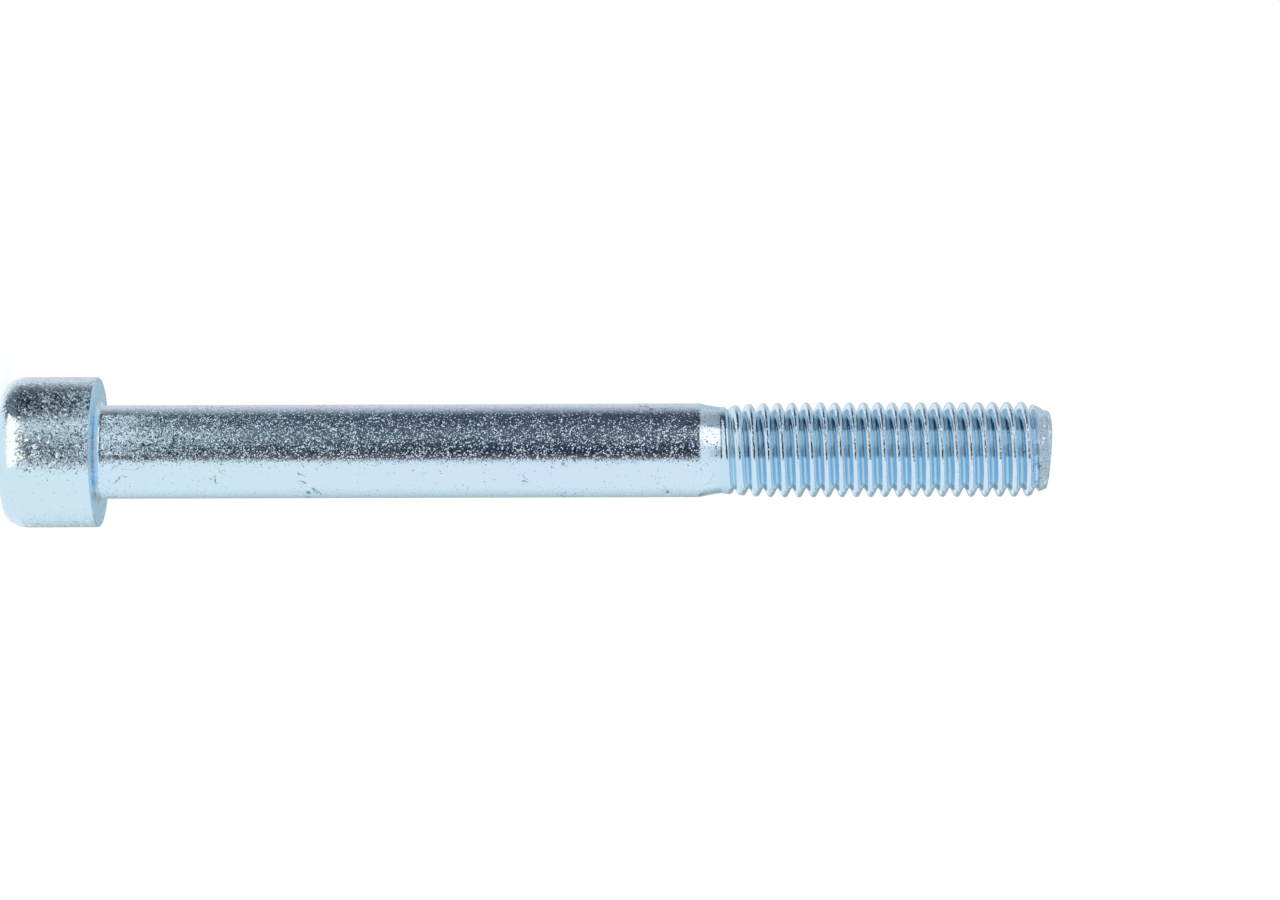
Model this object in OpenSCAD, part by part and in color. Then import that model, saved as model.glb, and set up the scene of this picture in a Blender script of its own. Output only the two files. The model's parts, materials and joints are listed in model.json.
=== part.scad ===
// Hex socket cap screw, cold forged in one piece, with a rolled metric thread.
// The origin is the centre of the bearing face under the head. +Z runs along the shank to the tip,
// and the screw stands on the end face of its head. All sizes are in millimetres and degrees.

/* [Head] */
// Diameter of the head
head_d = 15.75; // [15:0.05:20]
// Height of the head, from its end face to the bearing face
head_h = 9.65; // [9:0.05:14]
// How far the rounding at the end face reaches in from the side
round_in = 1.4; // [0.6:0.1:2]
// How far the same rounding reaches along the side
round_along = 2.2; // [0.8:0.1:3.5]
// Bevel on the rim of the bearing face
rim_bevel = 0.15; // [0.05:0.05:0.5]
// Radius of the fillet between the bearing face and the shank
fillet_r = 0.7; // [0.3:0.1:1.5]

/* [Hex socket] */
// Width of the socket across its flats
socket_af = 8.15; // [7:0.05:8.6]
// Depth of the socket's walls, measured at its corners
socket_depth = 5; // [4.5:0.1:5.5]
// Diameter of the countersink at the socket's mouth
mouth_d = 10.1; // [8.5:0.1:11.5]
// Angle between the countersink and the socket's axis
mouth_angle = 60; // [45:1:70]
// Fall of the socket's floor from its edge towards the dimple
floor_angle = 10; // [2:1:20]
// Diameter of the dimple in the middle of the floor
dimple_d = 3.3; // [2:0.1:5]
// Depth of the dimple below the floor around it
dimple_depth = 0.12; // [0.05:0.01:0.4]

/* [Shank] */
// Length of the screw, from the bearing face to the tip
length = 99.4; // [60:0.1:160]
// Diameter of the plain shank
shank_d = 9.8; // [9.4:0.05:10.4]
// Length of the cone that leads down to the thread
shoulder_len = 2; // [1:0.1:4]

/* [Thread] */
// Length from the first groove to the tip
thread_len = 34.4; // [15:0.1:50]
// Diameter over the crests
thread_d = 9.95; // [9.6:0.05:10.4]
// Distance from one turn to the next
pitch = 1.5; // [1.25:0.25:2]
// Diameter of the bare neck where the first groove starts
neck_d = 9; // [8.6:0.05:9.2]
// Length over which the crests rise to their full diameter
crest_run = 7; // [1:0.5:9]
// Length over which the grooves reach their full depth
groove_run = 2.5; // [0.5:0.5:6]
// Angle about the axis at which the first groove starts
start_angle = 185; // [0:1:360]

/* [Tip] */
// Diameter of the rim around the tip's end
tip_d = 7.9; // [6:0.1:8.6]
// Length of the chamfer at the tip
tip_len = 2.3; // [1:0.1:4]
// Height of the lip that rolling leaves on one side of the rim
tip_lip = 0.35; // [0:0.05:0.6]
// Angle about the axis at which the lip stands
lip_angle = 222; // [0:1:360]
// Depth of the hollow that rolling leaves inside the rim
tip_dish = 0.3; // [0.1:0.05:0.8]

/* [Hidden] */

STEEL = "#b9cfdc";
// Flat steps round each turn of the thread
TURN_STEPS = 36;
// Straight steps along each rounding of the revolved outline
ARC_STEPS = 8;
// Steps that draw the true curves of the revolved outline
CURVE_FN = 96;
// How narrow the tip's lip is: a higher power makes it narrower
LIP_POWER = 3;
// How far the thread's root in the neck stays inside the neck's surface
RING_INSET = 0.02;
// How far the thread's solid reaches into the neck that carries it
RING_SINK = 0.5;
// How far a cutting tool reaches past the face that it opens
OVERSHOOT = 1;

// Depth of a metric thread with a rounded root, for each unit of its pitch
DEPTH_PER_PITCH = 0.6134;
// Half the width of the crest, as a share of the pitch
CREST_HALF = 1 / 16;
// Half the width of the hollow root, as a share of the pitch
ROOT_HALF = 1 / 8;
// One turn's profile, as pairs of a share of the pitch and a level. Level 1 is the crest, 0 is the
// neck and -1 is the root. The flanks stand at 60 degrees to each other.
PROFILE = [
    [-CREST_HALF, 1],
    [CREST_HALF, 1],
    [0.5 - ROOT_HALF, -0.75],
    [0.5, -1],
    [0.5 + ROOT_HALF, -0.75]
];

head_r = head_d / 2;
shank_r = shank_d / 2;
neck_r = neck_d / 2;
crest_r = thread_d / 2;
root_r = crest_r - DEPTH_PER_PITCH * pitch;
tip_r = tip_d / 2;
thread_z = length - thread_len;
shoulder_z = thread_z - shoulder_len;
// Where the thread's solid starts inside the neck, and where the hollow in the tip ends
base_z = thread_z - RING_SINK;
dish_z = length - tip_lip - tip_dish;

// Points of a quarter of an ellipse about a centre, from one angle to another
function quarter(centre, radii, from, to) = [
    for (step = [0 : ARC_STEPS])
        let (angle = from + (to - from) * step / ARC_STEPS)
            centre + [radii[0] * cos(angle), radii[1] * sin(angle)]
];

// Half section of the head, the shank and the neck
module body_outline() {
    polygon(concat(
        [[0, -head_h]],
        quarter([head_r - round_in, round_along - head_h], [round_in, round_along], -90, 0),
        [[head_r, -rim_bevel], [head_r - rim_bevel, 0]],
        quarter([shank_r + fillet_r, fillet_r], [fillet_r, fillet_r], 270, 180),
        [[shank_r, shoulder_z], [neck_r, thread_z], [0, thread_z]]
    ));
}

// The hexagonal hole that takes the key, with its countersink and its shallow floor
module socket() {
    corner_r = socket_af / 2 / cos(30);
    floor_z = socket_depth - head_h;
    dimple_r = dimple_d / 2;
    dimple_z = floor_z + (corner_r - dimple_r) * tan(floor_angle);
    mouth_r = mouth_d / 2;
    intersection() {
        translate([0, 0, -head_h - OVERSHOOT])
            rotate(30)
                cylinder(r = corner_r, h = head_h + OVERSHOOT, $fn = 6);
        rotate_extrude($fn = CURVE_FN)
            polygon([
                [0, -head_h - OVERSHOOT],
                [head_r, -head_h - OVERSHOOT],
                [head_r, floor_z - (head_r - corner_r) * tan(floor_angle)],
                [dimple_r, dimple_z],
                [dimple_r, dimple_z + dimple_depth],
                [0, dimple_z + dimple_depth]
            ]);
    }
    rotate_extrude($fn = CURVE_FN)
        polygon([
            [0, -head_h - OVERSHOOT],
            [mouth_r, -head_h - OVERSHOOT],
            [mouth_r, -head_h],
            [0, mouth_r / tan(mouth_angle) - head_h]
        ]);
}

// Rises from 0 to 1 as the share does, fast at first and gently at the end
function rise(share) = let (left = 1 - max(0, min(1, share))) 1 - left * left;

// Height of the tip's rim at an angle about the axis
function rim_z(angle) = length - tip_lip * (1 - pow((1 + cos(angle - lip_angle)) / 2, LIP_POWER));

// Radius inside which the chamfer keeps the thread at a height
function chamfer_r(z) = tip_r + (crest_r - tip_r) * (length - z) / tip_len;

// Radius of the thread at a height, for a level of the profile
function thread_r(z, level) =
    let (
        start_r = neck_r - RING_INSET,
        risen = (crest_r - start_r) * rise((z - thread_z) / crest_run),
        sunk = (start_r - root_r) * rise((z - thread_z) / groove_run),
        r = start_r + level * (level > 0 ? risen : sunk)
    )
        min(r, chamfer_r(z));

// One column of the thread's surface: its points from inside the neck to the rim at one step round the axis.
// The turns start well below the neck, so each column starts and ends with points held at its two ends.
function thread_column(step) =
    let (
        angle = 360 * step / TURN_STEPS,
        top_z = rim_z(angle),
        turns = ceil(thread_len / pitch) + 2
    )
        [
            for (turn = [-2 : turns - 1], point = PROFILE)
                let (
                    free_z = thread_z + pitch * (turn + point[0] + (angle - start_angle) / 360),
                    z = max(base_z, min(top_z, free_z)),
                    level = z <= base_z ? 0 : z >= top_z ? -1 : point[1],
                    r = thread_r(z, level)
                )
                    [r * cos(angle), r * sin(angle), z]
        ];

// The threaded end, a solid whose columns join into a helix: each turn of the last column meets
// the next turn of the first one.
module thread() {
    columns = [for (step = [0 : TURN_STEPS - 1]) thread_column(step)];
    rows = len(columns[0]);
    points = concat([for (column = columns) each column], [[0, 0, base_z], [0, 0, dish_z]]);
    base_centre = len(points) - 2;
    dish_centre = len(points) - 1;
    function at(step, row) =
        step < TURN_STEPS
            ? step * rows + min(row, rows - 1)
            : min(row + len(PROFILE), rows - 1);
    function differ(a, b) = norm(points[a] - points[b]) > 0;
    function proper(face) =
        differ(face[0], face[1]) && differ(face[1], face[2]) && differ(face[2], face[0]);
    walls = [
        for (step = [0 : TURN_STEPS - 1], row = [0 : rows - 2])
            let (a = at(step, row), b = at(step + 1, row), c = at(step + 1, row + 1), d = at(step, row + 1))
                each [[a, c, b], [a, d, c]]
    ];
    ends = [
        for (step = [0 : TURN_STEPS - 1])
            each [
                [base_centre, at(step, 0), at(step + 1, 0)],
                [dish_centre, at(step + 1, rows - 1), at(step, rows - 1)]
            ]
    ];
    polyhedron(points = points, faces = [for (face = concat(walls, ends)) if (proper(face)) face]);
}

module screw() {
    color(STEEL) {
        difference() {
            rotate_extrude($fn = CURVE_FN)
                body_outline();
            socket();
        }
        thread();
    }
}

screw();
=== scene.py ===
"""Zinc-plated hex socket cap screw: its detailed surface, finish, studio and camera."""

import json
import math

import bmesh
import bpy
from mathutils import Matrix, Vector, noise


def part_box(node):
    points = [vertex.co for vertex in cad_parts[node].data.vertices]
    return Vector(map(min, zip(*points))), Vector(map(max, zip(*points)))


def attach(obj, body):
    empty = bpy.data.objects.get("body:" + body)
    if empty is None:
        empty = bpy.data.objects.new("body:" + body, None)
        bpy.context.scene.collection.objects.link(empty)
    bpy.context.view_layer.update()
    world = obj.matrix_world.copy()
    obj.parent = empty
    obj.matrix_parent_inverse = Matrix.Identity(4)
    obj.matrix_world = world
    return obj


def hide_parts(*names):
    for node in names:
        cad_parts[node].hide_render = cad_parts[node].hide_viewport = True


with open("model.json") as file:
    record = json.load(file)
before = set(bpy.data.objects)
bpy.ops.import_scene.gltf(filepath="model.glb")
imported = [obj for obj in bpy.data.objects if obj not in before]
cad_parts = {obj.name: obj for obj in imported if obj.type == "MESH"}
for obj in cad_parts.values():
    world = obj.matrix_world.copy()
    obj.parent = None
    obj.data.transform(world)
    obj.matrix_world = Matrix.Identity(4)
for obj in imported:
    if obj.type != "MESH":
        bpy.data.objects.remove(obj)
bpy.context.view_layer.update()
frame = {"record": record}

MM = 0.001
mounts = {mount["name"]: mount for mount in frame["record"]["mounts"]}
box_low, box_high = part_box("screw")

# Sizes that the frame gives, in millimetres
HEAD_R = box_high[0] / MM
HEAD_H = -box_low[2] / MM
LENGTH = box_high[2] / MM
SHANK_R = mounts["shank"]["dims"]["r_mm"]

# Sizes of the head and its socket, in millimetres and degrees
ROUND_IN = 1.4
ROUND_ALONG = 2.2
RIM_BEVEL = 0.15
FILLET_R = 0.7
SOCKET_AF = 8.15
SOCKET_DEPTH = 5.0
MOUTH_R = 5.05
MOUTH_ANGLE = 60
FLOOR_ANGLE = 10
DIMPLE_R = 1.65
DIMPLE_DEPTH = 0.12
# The dimple's edge is rounded: how far inside it the flat ends and the bend lies, and the bend's depth
DIMPLE_EDGE = 0.15
DIMPLE_BEND = 0.06
DIMPLE_BEND_DEPTH = 0.7 * DIMPLE_DEPTH
# Gaps to the extra rows that keep the shading crisp beside an edge, on the head and on the shank
HEAD_ROW = 0.08
SHANK_ROW = 0.1

# Sizes of the thread and the tip
THREAD_LEN = 34.4
SHOULDER_LEN = 2.2
SHOULDER_EASE = 0.35
NECK_R = 4.5
CREST_R = 4.95
PITCH = 1.5
THREAD_DEPTH = 0.6134 * PITCH
FLANK_ANGLE = 63
CREST_HALF = 0.23
FLAT_HALF = 0.13
BEVEL_SLOPE = 0.85
BEVEL_SOFTNESS = 0.012
FLANK_SOFTNESS = 0.02
CREST_SEAM = 0.09
CREST_RUN = 7.0
GROOVE_RUN = 2.5
START_ANGLE = 185
# Wear of the crest: how far it wanders along the axis, and the depth of its seam and of its dents
WEAR_ALONG = 0.05
WEAR_SEAM = 0.004
WEAR_DENTS = 0.001
TIP_R = 3.95
TIP_LEN = 2.3
TIP_LIP = 0.35
LIP_ANGLE = 222
LIP_POWER = 3
TIP_DISH = 0.3

THREAD_Z = LENGTH - THREAD_LEN
SHOULDER_Z = THREAD_Z - SHOULDER_LEN
FLANK_SLOPE = math.tan(math.radians(FLANK_ANGLE))
# The round root touches both flanks and reaches the full depth
ROOT_RADIUS = ((PITCH / 2 - CREST_HALF) * FLANK_SLOPE - THREAD_DEPTH) / (
    1 / math.cos(math.radians(FLANK_ANGLE)) - 1)
ROOT_HALF = ROOT_RADIUS * math.sin(math.radians(FLANK_ANGLE))
# The flank's line meets the level of the crest at CREST_HALF, and the bevel cuts the corner off
BEVEL_END = (FLANK_SLOPE * CREST_HALF - BEVEL_SLOPE * FLAT_HALF) / (FLANK_SLOPE - BEVEL_SLOPE)
# Places of the thread's points within one pitch, on one side of the crest
HALF_PROFILE = [0.025, 0.045, 0.065, 0.09, 0.14, 0.175, 0.205, 0.24, 0.29,
                0.48 - ROOT_HALF / PITCH, 0.5 - ROOT_HALF / PITCH, 0.475]
PROFILE = [-share for share in reversed(HALF_PROFILE)] + [0.0] + HALF_PROFILE + [0.5]

# Colours of the plating, as linear light: near the head, near the tip, darker at the thread's root as
# painted shade, in a scratch
ZINC_HEAD = (0.605, 0.79, 0.885, 1)
ZINC_TIP = (0.61, 0.77, 0.925, 1)
ZINC_ROOT_SHADE = (0.52, 0.72, 0.855, 1)
SCRATCH = (0.12, 0.15, 0.20, 1)
SCRATCH_SHARE = 0.75

# Roughness of the plating, and of the rolled thread
ZINC_ROUGHNESS = 0.15
THREAD_ROUGHNESS = 0.06

# The plating's crystals and the torn crest: the scale of each texture and how far it tilts the surface
FINE_SCALE = 9000
FINE_TILT = 2.8
COARSE_SCALE = 4200
COARSE_TILT = 1.5
TORN_SCALE = 6000
TORN_TILT = 0.2
# Share of the tilt that rolling leaves on the thread's flanks
FLANK_TILT = 0.1

# Tones of the studio's glowing cards, as linear light: painted light and shade that the metal mirrors
WHITE = (1.0, 1.0, 1.0)
GLARE = (1.6, 1.3, 1.15)
LILAC = (0.88, 0.78, 0.82)
GREY = (0.5, 0.5, 0.52)
MID = (0.35, 0.38, 0.42)
SHADE = (0.16, 0.16, 0.18)
SLATE = (0.055, 0.07, 0.10)
NAVY = (0.012, 0.018, 0.035)
BROWN = (0.10, 0.06, 0.06)
AQUA = (0.80, 0.87, 0.90)
TEAL = (0.60, 0.70, 0.70)
DEEP_TEAL = (0.42, 0.50, 0.48)
SKY = (0.57, 0.73, 0.86)
BACK_BLUE = (0.40, 0.56, 0.68)
CEILING = (0.49, 0.70, 0.87)
PALE = (0.8, 0.8, 0.8)
SOFT = (0.62, 0.62, 0.64)
BRIGHT = (2.0, 2.0, 2.0)

# Places of the studio's cards, in metres and degrees
CARD_STEP = 3
BAND_R = 8.0
BAND_DROP = [(-172, 10), (-101, 9), (-66, 8.6), (-54, 7.2), (-24, 7.2), (-12, 9), (27, 10), (188, 10)]
# Walls round the screw, from the outermost to the nearest
WALL_R = 0.6
THREAD_WALL_R = 0.59
BACK_R = 0.585
KEY_R = 0.58
NEAR_R = 0.1
LIGHT_R = 0.099
# Heights of the walls' edges above the bearing face
WALL_TOP = 0.165
KEY_LOW = 0.2
KEY_HIGH = 0.42
UPPER_TOP = 0.3
THREAD_LOW = 0.086
THREAD_HIGH = 0.4
CEILING_Z = 0.45
TIP_RING_Z = 0.128
# Degrees between two slats, beside the head and above the tip
SLAT_STEP = 3
TIP_SLAT_STEP = 6

# Size of the floor, and the brightness of the surround and the floor: as they are seen, and as they
# light the set
FLOOR_R = 3.0
WORLD_SEEN = 1.0
WORLD_FILL = 0.8
FLOOR_GLOW = 0.82
FLOOR_SEEN = (0.25, 0.25, 0.25, 1)
FLOOR_PAINT = (0.9, 0.9, 0.9, 1)

# The camera: its distance, the width of what it sees there, the point that it aims at, and its roll
CAMERA_DISTANCE = 0.409
VIEW_WIDTH = 0.13403
AIM_X = -0.00004
AIM_Z = 0.05657
ROLL = 0.17
SENSOR_WIDTH = 36

# Columns of the mesh round the axis: a multiple of 12 puts the socket's corners on columns
COLUMNS = 120


def line(start, end, steps):
    """Points on a straight line of the outline, as pairs of radius and height."""
    for step in range(steps + 1):
        part = step / steps
        yield start[0] + (end[0] - start[0]) * part, start[1] + (end[1] - start[1]) * part


def quarter(centre, radii, start, end, steps):
    """Points on a quarter of an ellipse, from one angle to another."""
    for step in range(steps + 1):
        angle = math.radians(start + (end - start) * step / steps)
        yield centre[0] + radii[0] * math.cos(angle), centre[1] + radii[1] * math.sin(angle)


def hexagon_r(angle):
    """Distance from the axis to the socket's wall, whose flats face 0, 60, 120 degrees and so on."""
    off_flat = (angle + 30) % 60 - 30
    return SOCKET_AF / 2 / math.cos(math.radians(off_flat))


def head_path(angle):
    """One column of the head, from the middle of the socket's floor to the fillet's end."""
    wall_r = hexagon_r(angle)
    corner_r = SOCKET_AF / 2 / math.cos(math.radians(30))
    floor_z = SOCKET_DEPTH - HEAD_H
    slope = math.tan(math.radians(FLOOR_ANGLE))
    dimple_z = floor_z + (corner_r - DIMPLE_R) * slope
    wall_floor = (wall_r, floor_z + (corner_r - wall_r) * slope)
    wall_top = (wall_r, -HEAD_H + (MOUTH_R - wall_r) / math.tan(math.radians(MOUTH_ANGLE)))
    yield from line((0, dimple_z + DIMPLE_DEPTH), (DIMPLE_R - DIMPLE_EDGE, dimple_z + DIMPLE_DEPTH), 8)
    yield from line((DIMPLE_R - DIMPLE_BEND, dimple_z + DIMPLE_BEND_DEPTH), (DIMPLE_R, dimple_z), 1)
    yield from line((DIMPLE_R + HEAD_ROW, dimple_z - HEAD_ROW * slope), wall_floor, 8)
    yield from line(wall_floor, wall_top, 10)
    yield from line(wall_top, (MOUTH_R, -HEAD_H), 5)
    yield from line((MOUTH_R + HEAD_ROW, -HEAD_H), (HEAD_R - ROUND_IN, -HEAD_H), 8)
    yield from quarter((HEAD_R - ROUND_IN, ROUND_ALONG - HEAD_H), (ROUND_IN, ROUND_ALONG), -90, 0, 16)
    yield from line((HEAD_R, ROUND_ALONG - HEAD_H), (HEAD_R, -RIM_BEVEL), 16)
    yield from line((HEAD_R, -RIM_BEVEL), (HEAD_R - RIM_BEVEL, 0), 2)
    yield from line((HEAD_R - RIM_BEVEL, 0), (SHANK_R + FILLET_R, 0), 8)
    yield from quarter((SHANK_R + FILLET_R, FILLET_R), (FILLET_R, FILLET_R), 270, 180, 10)


def shank_path():
    """One column of the plain shank and the shoulder, which falls a little more gently at its end."""
    yield from line((SHANK_R, FILLET_R + SHANK_ROW), (SHANK_R, SHOULDER_Z - SHANK_ROW), 12)
    yield SHANK_R, SHOULDER_Z
    for step in range(1, 17):
        part = step / 16
        fallen = part * (1 + SHOULDER_EASE * (1 - part))
        yield SHANK_R - (SHANK_R - NECK_R) * fallen, SHOULDER_Z + SHOULDER_LEN * part


def soft_step(distance, softness):
    """The distance where it is above 0, and 0 below, with a rounded bend between."""
    return softness * math.log(1 + math.exp(distance / softness))


def profile_depth(share):
    """Depth below the crest at a share of the pitch from the crest's middle."""
    distance = abs(share) * PITCH
    to_root = PITCH / 2 - distance
    if to_root < ROOT_HALF:
        return THREAD_DEPTH - ROOT_RADIUS + math.sqrt(ROOT_RADIUS**2 - to_root**2)
    bevel = BEVEL_SLOPE * soft_step(distance - FLAT_HALF, BEVEL_SOFTNESS)
    return bevel + (FLANK_SLOPE - BEVEL_SLOPE) * soft_step(distance - BEVEL_END, FLANK_SOFTNESS)


def crest_wear(share, turn, angle):
    """How far rolling leaves the crest short of its place: along the axis and in depth. Each turn takes
    its own part of the noise, which changes over a few degrees."""
    if abs(share) > CREST_SEAM:
        return 0, 0
    along = WEAR_ALONG * noise.noise(Vector((angle / 5, turn * 7.3, 0)))
    seam = WEAR_SEAM * (0.6 + noise.noise(Vector((angle / 4, turn * 5.1, 9)))) if share == 0 else 0
    return along, seam + WEAR_DENTS * noise.noise(Vector((angle / 3, turn * 9.7, share * 40)))


def rise(share):
    """Rises from 0 to 1 as the share does, fast at first and gently at the end."""
    left = 1 - min(1, max(0, share))
    return 1 - left * left


def rim_z(angle):
    """Height of the tip's rim, which stands higher on one side."""
    share = (1 + math.cos(math.radians(angle - LIP_ANGLE))) / 2
    return LENGTH - TIP_LIP * (1 - share**LIP_POWER)


def thread_r(z, depth):
    """Radius of the thread at a height, for a depth of its full profile."""
    ridge = CREST_R - NECK_R
    if depth < ridge:
        radius = NECK_R + (ridge - depth) * rise((z - THREAD_Z) / CREST_RUN)
    else:
        radius = NECK_R - (depth - ridge) * rise((z - THREAD_Z) / GROOVE_RUN)
    chamfer = TIP_R + (CREST_R - TIP_R) * (LENGTH - z) / TIP_LEN
    return min(radius, chamfer)


def thread_path(angle):
    """One column of the thread, with points held at the neck and at the tip's rim."""
    top_z = rim_z(angle)
    neck_depth = CREST_R - NECK_R
    for turn in range(-2, math.ceil(THREAD_LEN / PITCH) + 1):
        for share in PROFILE:
            along, down = crest_wear(share, turn, angle)
            free_z = THREAD_Z + PITCH * (turn + share + (angle - START_ANGLE) / 360) + along
            z = max(THREAD_Z, min(top_z, free_z))
            depth = profile_depth(share) + down
            if z <= THREAD_Z:
                depth = neck_depth
            elif z >= top_z:
                depth = THREAD_DEPTH
            yield thread_r(z, depth), z


def tip_path(angle):
    """One column of the hollow inside the tip's rim, from the rim to the axis."""
    rim_r, top_z = thread_r(rim_z(angle), THREAD_DEPTH), rim_z(angle)
    bottom = LENGTH - TIP_LIP - TIP_DISH
    for share in (0.96, 0.9, 0.82, 0.72, 0.6, 0.48, 0.36, 0.24, 0.12, 0):
        yield rim_r * share, bottom + (top_z - bottom) * share**2


def screw_mesh():
    """The whole surface as one closed mesh. The thread's last column meets the next turn of its first."""
    columns = []
    for step in range(COLUMNS):
        angle = 360 * step / COLUMNS
        body = list(head_path(angle)) + list(shank_path())
        thread = list(thread_path(angle))
        columns.append(body + thread + list(tip_path(angle)))
    thread_start, thread_end = len(body), len(body) + len(thread)

    points, faces = [], []
    for step, column in enumerate(columns):
        angle = 2 * math.pi * step / COLUMNS
        points += [(r * math.cos(angle) * MM, r * math.sin(angle) * MM, z * MM) for r, z in column]

    rows = len(columns[0])

    def at(step, row):
        if step < COLUMNS:
            return step * rows + row
        if thread_start <= row < thread_end:
            return min(row + len(PROFILE), thread_end - 1)
        return row

    for step in range(COLUMNS):
        for row in range(rows - 1):
            faces.append((at(step, row), at(step, row + 1), at(step + 1, row + 1), at(step + 1, row)))
    mesh = bpy.data.meshes.new("screw_surface")
    mesh.from_pydata(points, [], faces)
    return mesh


def tidy_mesh(mesh):
    """Joins the points that meet, removes what has no area and turns every face outwards."""
    shape = bmesh.new()
    shape.from_mesh(mesh)
    bmesh.ops.remove_doubles(shape, verts=shape.verts, dist=1e-7)
    bmesh.ops.dissolve_degenerate(shape, edges=shape.edges, dist=1e-8)
    bmesh.ops.recalc_face_normals(shape, faces=shape.faces)
    shape.to_mesh(mesh)
    shape.free()
    mesh.shade_smooth()
    mesh.set_sharp_from_angle(angle=math.radians(40))


def add_node(tree, kind, **inputs):
    """A shader node with its inputs set: a value is written, and a socket is linked."""
    node = tree.nodes.new(kind)
    for name, value in inputs.items():
        socket = node.inputs[name.replace("_", " ")]
        if isinstance(value, bpy.types.NodeSocket):
            tree.links.new(value, socket)
        else:
            socket.default_value = value
    return node


def map_range(tree, value, low, high, to_low, to_high):
    """The value moved from one range to another and held inside it."""
    node = add_node(tree, "ShaderNodeMapRange")
    tree.links.new(value, node.inputs[0])
    for index, number in enumerate((low, high, to_low, to_high)):
        node.inputs[index + 1].default_value = number
    return node.outputs[0]


def mix_colour(tree, factor, first, second):
    """A colour between two others."""
    node = tree.nodes.new("ShaderNodeMix")
    node.data_type = "RGBA"
    for socket, value in zip((node.inputs[0], node.inputs[6], node.inputs[7]), (factor, first, second)):
        if isinstance(value, bpy.types.NodeSocket):
            tree.links.new(value, socket)
        else:
            socket.default_value = value
    return node.outputs[2]


def math_node(tree, operation, first, second=0.0):
    """One step of arithmetic on sockets and numbers."""
    node = tree.nodes.new("ShaderNodeMath")
    node.operation = operation
    for socket, value in zip(node.inputs, (first, second)):
        if isinstance(value, bpy.types.NodeSocket):
            tree.links.new(value, socket)
        else:
            socket.default_value = value
    return node.outputs[0]


def vector_node(tree, operation, first, second=None):
    """One step of vector arithmetic. The second value is a number where the operation scales."""
    node = tree.nodes.new("ShaderNodeVectorMath")
    node.operation = operation
    tree.links.new(first, node.inputs[0])
    socket = node.inputs[3 if operation == "SCALE" else 1]
    if isinstance(second, bpy.types.NodeSocket):
        tree.links.new(second, socket)
    elif second is not None:
        socket.default_value = second
    return node.outputs["Value" if operation == "LENGTH" else "Vector"]


def crystal_tilt(tree, place, scale, strength):
    """Tilts each crystal of the plating its own way: most a little, and a few a lot."""
    cells = add_node(tree, "ShaderNodeTexVoronoi", Vector=place, Scale=scale)
    offset = vector_node(tree, "SUBTRACT", cells.outputs["Color"], (0.5, 0.5, 0.5))
    steep = math_node(tree, "POWER", vector_node(tree, "LENGTH", offset), 5.0)
    return vector_node(tree, "SCALE", offset, math_node(tree, "MULTIPLY", steep, strength))


def scratches(tree, place):
    """1 on a few short crooked scratches and 0 elsewhere."""
    lines = add_node(tree, "ShaderNodeTexNoise", Vector=place, Scale=420, Detail=2, Distortion=1.0)
    patches = add_node(tree, "ShaderNodeTexNoise", Vector=place, Scale=260, Detail=2)
    off_line = math_node(tree, "ABSOLUTE", math_node(tree, "SUBTRACT", lines.outputs["Fac"], 0.5))
    on_line = map_range(tree, off_line, 0.008, 0.016, 1, 0)
    return math_node(tree, "MULTIPLY", on_line, map_range(tree, patches.outputs["Fac"], 0.6, 0.64, 0, 1))


def ramp(tree, value, start, end):
    """0 where the value is at the first place, in millimetres, and 1 where it is at the second."""
    return map_range(tree, value, start * MM, end * MM, 0, 1)


def opposite(tree, share):
    """1 where the share is 0, and 0 where it is 1."""
    return math_node(tree, "SUBTRACT", 1.0, share)


def zinc_zones(tree, place):
    """The parts of the screw that look different: each is 1 where it is and 0 elsewhere."""
    height = add_node(tree, "ShaderNodeSeparateXYZ", Vector=place).outputs["Z"]
    radius = vector_node(tree, "LENGTH", vector_node(tree, "MULTIPLY", place, (1, 1, 0)))
    past_neck = ramp(tree, height, THREAD_Z - 1.5, THREAD_Z + 0.5)
    before_tip = ramp(tree, height, LENGTH - 2.1, LENGTH - 2.5)
    thread = math_node(tree, "MULTIPLY", past_neck, before_tip)
    groove = ramp(tree, radius, CREST_R - 0.02, CREST_R - 0.15)
    return {
        "thread": thread,
        "flank": math_node(tree, "MULTIPLY", thread, groove),
        "crest": math_node(tree, "MULTIPLY", thread, opposite(tree, groove)),
        # The root's zone carries painted shade: the plating is made darker down in the thread's groove
        "root": math_node(tree, "MULTIPLY", thread, ramp(tree, radius, CREST_R - 0.1, CREST_R - 0.65)),
        "ends": math_node(tree, "MAXIMUM", ramp(tree, height, 0.5, -0.5),
                          ramp(tree, height, LENGTH - 2.5, LENGTH - 1.9)),
    }


def zinc_colour(tree, place, zones):
    """Blue passivation that drifts in clouds and along the screw, with scratches, and painted shade that
    darkens the thread's root.
    """
    height = add_node(tree, "ShaderNodeSeparateXYZ", Vector=place).outputs["Z"]
    along = map_range(tree, height, 0.005, 0.045, 0.2, 0.8)
    clouds = add_node(tree, "ShaderNodeTexNoise", Vector=place, Scale=110, Detail=3, Roughness=0.5)
    drift = map_range(tree, clouds.outputs["Fac"], 0.35, 0.65, -0.3, 0.3)
    colour = mix_colour(tree, math_node(tree, "ADD", drift, along), ZINC_HEAD, ZINC_TIP)
    marks = math_node(tree, "MULTIPLY", scratches(tree, place), opposite(tree, zones["thread"]))
    colour = mix_colour(tree, math_node(tree, "MULTIPLY", marks, SCRATCH_SHARE), colour, SCRATCH)
    return mix_colour(tree, zones["root"], colour, ZINC_ROOT_SHADE)


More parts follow.
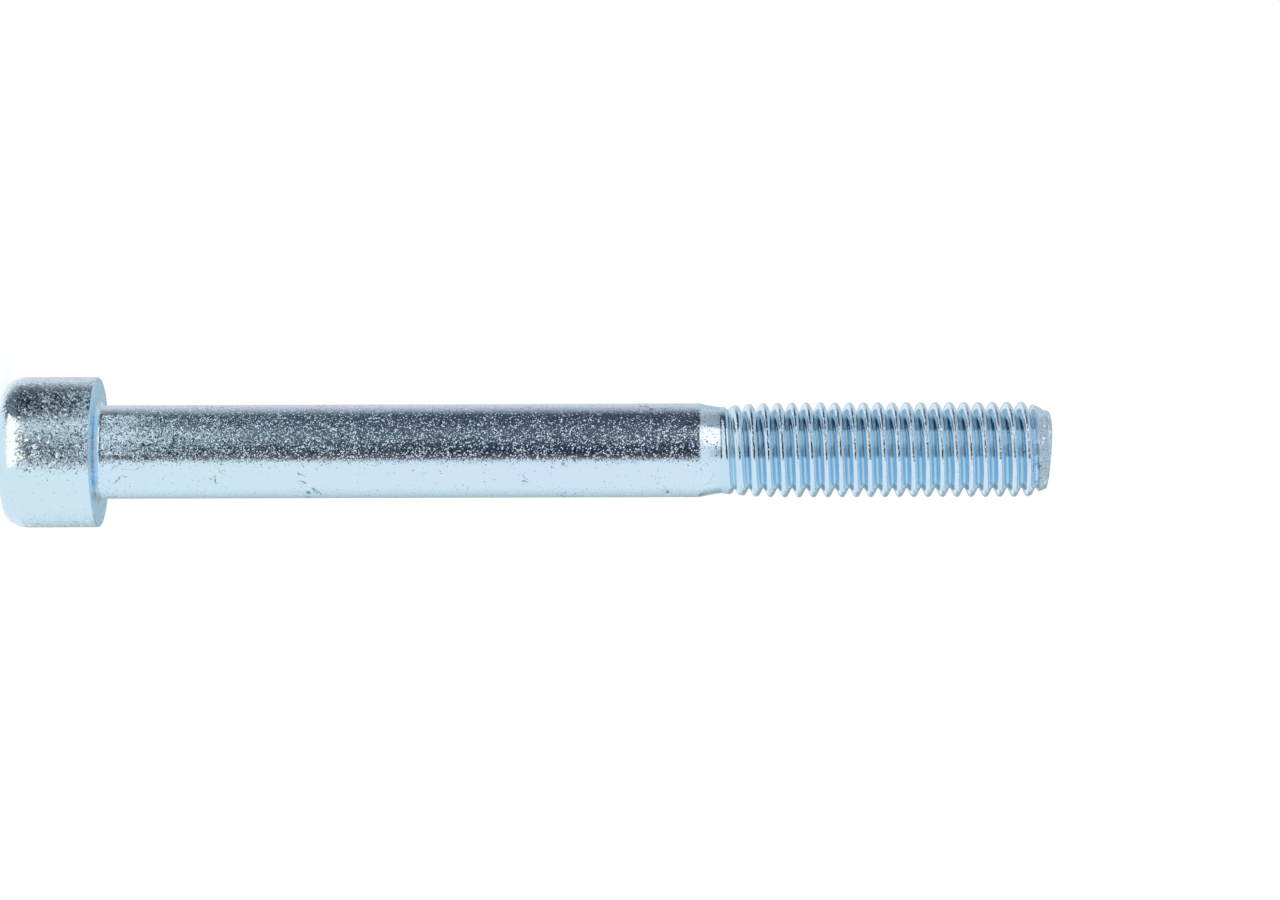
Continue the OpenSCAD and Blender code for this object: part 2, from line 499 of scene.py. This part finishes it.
def zinc_facets(tree, place, zones):
    """The surface's direction with its crystals, which are coarse on the head and the tip, nearly flat
    on the thread's flanks, and torn on its crest."""
    clusters = add_node(tree, "ShaderNodeTexNoise", Vector=place, Scale=650, Detail=3, Roughness=0.6)
    amount = map_range(tree, clusters.outputs["Fac"], 0.35, 0.65, 0.5, 1.5)
    amount = math_node(tree, "MULTIPLY", amount, map_range(tree, zones["flank"], 0, 1, 1, FLANK_TILT))
    fine = crystal_tilt(tree, place, FINE_SCALE, FINE_TILT)
    coarse = vector_node(tree, "SCALE", crystal_tilt(tree, place, COARSE_SCALE, COARSE_TILT), zones["ends"])
    torn = add_node(tree, "ShaderNodeTexNoise", Vector=place, Scale=TORN_SCALE, Detail=2)
    torn = vector_node(tree, "SUBTRACT", torn.outputs["Color"], (0.5, 0.5, 0.5))
    torn = vector_node(tree, "SCALE", torn, math_node(tree, "MULTIPLY", zones["crest"], TORN_TILT))
    tilt = vector_node(tree, "SCALE", vector_node(tree, "ADD", fine, coarse), amount)
    facing = tree.nodes.new("ShaderNodeNewGeometry").outputs["Normal"]
    tilted = vector_node(tree, "ADD", facing, vector_node(tree, "ADD", tilt, torn))
    return vector_node(tree, "NORMALIZE", tilted)


def zinc_material():
    """Bright zinc with a blue passivation, over steel that was forged and rolled."""
    material = bpy.data.materials.new("zinc_plating")
    material.use_nodes = True
    tree = material.node_tree
    tree.nodes.clear()
    place = add_node(tree, "ShaderNodeTexCoord").outputs["Object"]
    zones = zinc_zones(tree, place)
    shader = add_node(
        tree,
        "ShaderNodeBsdfPrincipled",
        Base_Color=zinc_colour(tree, place, zones),
        Metallic=1.0,
        Roughness=map_range(tree, zones["thread"], 0, 1, ZINC_ROUGHNESS, THREAD_ROUGHNESS),
        Normal=zinc_facets(tree, place, zones),
    )
    output = add_node(tree, "ShaderNodeOutputMaterial")
    tree.links.new(shader.outputs[0], output.inputs["Surface"])
    return material


def glow_material(name):
    """A glowing surface, no lamp, that takes its colour from the mesh's own tones: painted light and shade.
    """
    material = bpy.data.materials.new(name)
    material.use_nodes = True
    tree = material.node_tree
    tree.nodes.clear()
    tones = tree.nodes.new("ShaderNodeVertexColor")
    tones.layer_name = "tone"
    glow = add_node(tree, "ShaderNodeEmission", Color=tones.outputs["Color"], Strength=1.0)
    output = add_node(tree, "ShaderNodeOutputMaterial")
    tree.links.new(glow.outputs[0], output.inputs["Surface"])
    return material


def between(marks, place):
    """The value at a place on a scale, from its listed marks: pairs of a place and a value."""
    for (start, first), (end, second) in zip(marks, marks[1:]):
        if start <= place <= end:
            share = (place - start) / (end - start)
            return first + (second - first) * share
    raise ValueError(f"no value at {place}")


def ring_card(name, material, tones, edges):
    """A card round the axis that only reflections meet. Its tones are pairs of an angle, measured
    from -Y towards +X, and a colour. The function edges gives its two edges at an angle, as pairs of
    a radius and a height in metres."""
    tones = [(azimuth, Vector(tone)) for azimuth, tone in tones]
    start, end = tones[0][0], tones[-1][0]
    steps = max(2, round((end - start) / CARD_STEP))
    points, faces, colours = [], [], []
    for step in range(steps + 1):
        azimuth = start + (end - start) * step / steps
        angle = math.radians(azimuth)
        for radius, height in edges(azimuth):
            points.append((radius * math.sin(angle), -radius * math.cos(angle), height))
            colours.append(between(tones, azimuth))
    for step in range(steps):
        first = 2 * step
        faces.append((first, first + 2, first + 3, first + 1))
    mesh = bpy.data.meshes.new(name)
    mesh.from_pydata(points, [], faces)
    mesh.materials.append(material)
    layer = mesh.color_attributes.new("tone", "FLOAT_COLOR", "POINT")
    for item, colour in zip(layer.data, colours):
        item.color = (*colour, 1)
    card = bpy.data.objects.new(name, mesh)
    bpy.context.collection.objects.link(card)
    card.visible_camera = False
    card.visible_diffuse = False
    card.visible_shadow = False


def wall(radius, low_z, high_z):
    """The edges of an upright card."""
    return lambda azimuth: ((radius, low_z), (radius, high_z))


def shelf(height, first_r, second_r):
    """The edges of a card that lies level."""
    return lambda azimuth: ((first_r, height), (second_r, height))


def band_edges(azimuth):
    """The far band starts below the horizon of the screw and rises to the wall's top."""
    drop = math.tan(math.radians(between(BAND_DROP, azimuth)))
    return (BAND_R, -drop * BAND_R), (WALL_R, WALL_TOP)


def far_cards():
    """The tones and the edges of the glowing cards that stand far round the screw, as a room would. Their
    tones are painted light and shade of such a room, darker where its shadows would fall.
    """
    dark_side = [(-172, LILAC), (-140, LILAC), (-120, GREY), (-101, SLATE), (-45, SLATE), (0, NAVY),
                 (8, NAVY), (12, BROWN), (19, BROWN), (27, WHITE)]
    # Painted shadow: the far side darkens towards the back
    far_side = [(105, WHITE), (128, AQUA), (148, TEAL), (170, DEEP_TEAL), (175, SKY), (188, SKY)]
    above = [(-140, WHITE), (-99, MID), (-66, MID), (-60, WHITE), (-18, WHITE), (-8, MID), (19, MID),
             (27, WHITE)]
    upper_left = [(-140, WHITE), (-99, GREY), (-66, GREY), (-58, WHITE)]
    upper_right = [(-8, WHITE), (0, SOFT), (15, SOFT), (25, WHITE)]
    low_key = [(-60, MID), (-50, SOFT), (-28, SOFT), (-18, MID)]
    thread_left = [(-172, TEAL), (-140, TEAL), (-125, PALE)]
    thread_right = [(120, PALE), (140, DEEP_TEAL), (188, DEEP_TEAL)]
    return {
        "dark_band": (dark_side, band_edges),
        "far_band": (far_side, band_edges),
        "above_band": (above, wall(WALL_R, WALL_TOP, KEY_LOW)),
        "upper_left": (upper_left, wall(WALL_R, KEY_LOW, KEY_HIGH)),
        "upper_right": (upper_right, wall(WALL_R, KEY_LOW, UPPER_TOP)),
        "low_key": (low_key, wall(THREAD_WALL_R, 0.1, 0.168)),
        "thread_left": (thread_left, wall(THREAD_WALL_R, THREAD_LOW, THREAD_HIGH)),
        "thread_right": (thread_right, wall(THREAD_WALL_R, THREAD_LOW, THREAD_HIGH)),
        "back_card": ([(164, BACK_BLUE), (196, BACK_BLUE)], wall(BACK_R, 0.05, 0.12)),
        "key_card": ([(-62, GLARE), (-14, GLARE)], wall(KEY_R, KEY_LOW, KEY_HIGH)),
        "ceiling": ([(-188, CEILING), (172, CEILING)], shelf(CEILING_Z, WALL_R, 0.0)),
    }


def near_cards():
    """The tones and the edges of the glowing cards near the head and above the tip. Their tones are painted
    light and shade. Those near the head reach below the floor, which reflections don't meet."""
    floor_z = box_low[2]
    under_head = [(-126, SOFT), (-110, SHADE), (-96, NAVY), (-64, NAVY), (-53, SHADE), (-47, GREY),
                  (-41, PALE), (-30, GREY), (-22, MID), (-13, SHADE), (-6, SLATE), (4, SLATE), (12, GREY),
                  (19, PALE)]
    under_left = [(-126, SOFT), (-106, SHADE), (-62, SHADE)]
    slats = [(azimuth, SLATE if azimuth % 2 else MID) for azimuth in range(-51, -33, SLAT_STEP)]
    tip_slats = [(azimuth, WHITE if azimuth % 4 else SHADE) for azimuth in range(-188, 178, TIP_SLAT_STEP)]
    return {
        "under_head": (under_head, wall(NEAR_R, -0.033, -0.0128)),
        "under_left": (under_left, wall(NEAR_R, -0.13, -0.033)),
        # A glowing strip, no lamp: painted light that the shank mirrors near the head
        "head_light": ([(-101, BRIGHT), (8, BRIGHT)], wall(LIGHT_R, -0.0125, -0.009)),
        "head_slats": (slats, shelf(floor_z + 0.0001, 0.0085, 0.014)),
        # A glowing shelf beside the head: painted light that the head's rounded edge mirrors as a highlight
        "low_card": ([(-36, GLARE), (14, GLARE)], shelf(floor_z + 0.0002, 0.0085, 0.018)),
        "tip_ring": (tip_slats, shelf(TIP_RING_Z, 0.05, 0.014)),
    }


def add_cards():
    """Glowing cards, no lamps, that the polished metal mirrors, with painted light and shade as their
    tones: a band round the horizon that is dark beside the camera, what stands above it, and small cards
    nearer to the screw."""
    glow = glow_material("card_glow")
    for name, (tones, edges) in {**far_cards(), **near_cards()}.items():
        ring_card(name, glow, tones, edges)


def light_path_share(tree):
    """1 for rays that see the set itself: from the camera, from a reflection or through glass."""
    path = tree.nodes.new("ShaderNodeLightPath").outputs
    seen = math_node(tree, "MAXIMUM", path["Is Camera Ray"], path["Is Glossy Ray"])
    return math_node(tree, "MAXIMUM", seen, path["Is Transmission Ray"])


def set_world():
    """A white surround to look at, and a softer one to light the set."""
    world = bpy.data.worlds.new("studio")
    bpy.context.scene.world = world
    world.use_nodes = True
    tree = world.node_tree
    tree.nodes.clear()
    seen = add_node(tree, "ShaderNodeBackground", Color=(1, 1, 1, 1), Strength=WORLD_SEEN)
    fill = add_node(tree, "ShaderNodeBackground", Color=(0.95, 0.97, 1, 1), Strength=WORLD_FILL)
    mix = tree.nodes.new("ShaderNodeMixShader")
    tree.links.new(light_path_share(tree), mix.inputs[0])
    tree.links.new(fill.outputs[0], mix.inputs[1])
    tree.links.new(seen.outputs[0], mix.inputs[2])
    output = add_node(tree, "ShaderNodeOutputWorld")
    tree.links.new(mix.outputs[0], output.inputs["Surface"])


def floor_material():
    """White paint for the light, with a glow of its own where the floor is looked at."""
    material = bpy.data.materials.new("white_floor")
    material.use_nodes = True
    tree = material.node_tree
    tree.nodes.clear()
    paint = add_node(tree, "ShaderNodeBsdfDiffuse", Color=FLOOR_PAINT)
    shaded = add_node(tree, "ShaderNodeBsdfDiffuse", Color=FLOOR_SEEN)
    glow = add_node(tree, "ShaderNodeEmission", Color=(1, 1, 1, 1), Strength=FLOOR_GLOW)
    lit = tree.nodes.new("ShaderNodeAddShader")
    tree.links.new(shaded.outputs[0], lit.inputs[0])
    tree.links.new(glow.outputs[0], lit.inputs[1])
    mix = tree.nodes.new("ShaderNodeMixShader")
    tree.links.new(light_path_share(tree), mix.inputs[0])
    tree.links.new(paint.outputs[0], mix.inputs[1])
    tree.links.new(lit.outputs[0], mix.inputs[2])
    output = add_node(tree, "ShaderNodeOutputMaterial")
    tree.links.new(mix.outputs[0], output.inputs["Surface"])
    return material


def add_floor():
    """A white floor that the screw stands on, and that keeps its shadow."""
    mesh = bpy.data.meshes.new("floor")
    shape = bmesh.new()
    bmesh.ops.create_circle(shape, cap_ends=True, segments=96, radius=FLOOR_R)
    shape.to_mesh(mesh)
    shape.free()
    mesh.materials.append(floor_material())
    floor = bpy.data.objects.new("floor", mesh)
    floor.location.z = box_low[2]
    floor.visible_glossy = False
    bpy.context.collection.objects.link(floor)


def add_lamp(name, place, aim, size, energy):
    """A soft area lamp that isn't seen itself."""
    data = bpy.data.lights.new(name, "AREA")
    data.shape = "SQUARE"
    data.size = size
    data.energy = energy
    lamp = bpy.data.objects.new(name, data)
    bpy.context.collection.objects.link(lamp)
    lamp.location = place
    lamp.rotation_euler = (Vector(aim) - Vector(place)).to_track_quat("-Z", "Y").to_euler()
    lamp.visible_camera = False


def add_camera():
    """The camera of the photo, which sees the screw lie with its head at the left."""
    data = bpy.data.cameras.new("camera")
    data.sensor_width = SENSOR_WIDTH
    data.lens = SENSOR_WIDTH * CAMERA_DISTANCE / VIEW_WIDTH
    data.clip_start, data.clip_end = 0.01, 20
    camera = bpy.data.objects.new("camera", data)
    bpy.context.collection.objects.link(camera)
    roll = math.radians(ROLL)
    right = Vector((math.sin(roll), 0, math.cos(roll)))
    back = Vector((0, -1, 0))
    turn = Matrix((right, back.cross(right), back)).transposed().to_4x4()
    camera.matrix_world = Matrix.Translation((AIM_X, -CAMERA_DISTANCE, AIM_Z)) @ turn
    bpy.context.scene.camera = camera


def add_screw():
    """The detailed surface, in place of the CAD solid."""
    mesh = screw_mesh()
    tidy_mesh(mesh)
    mesh.materials.append(zinc_material())
    screw = bpy.data.objects.new("screw_body", mesh)
    bpy.context.collection.objects.link(screw)
    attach(screw, "root")
    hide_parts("screw")


add_screw()
add_cards()
add_floor()
set_world()
add_lamp("overhead_lamp", (0.35, -0.25, 1.0), (0, 0, 0.04), 0.8, 2.0)
add_camera()
bpy.context.scene.view_settings.view_transform = "Standard"
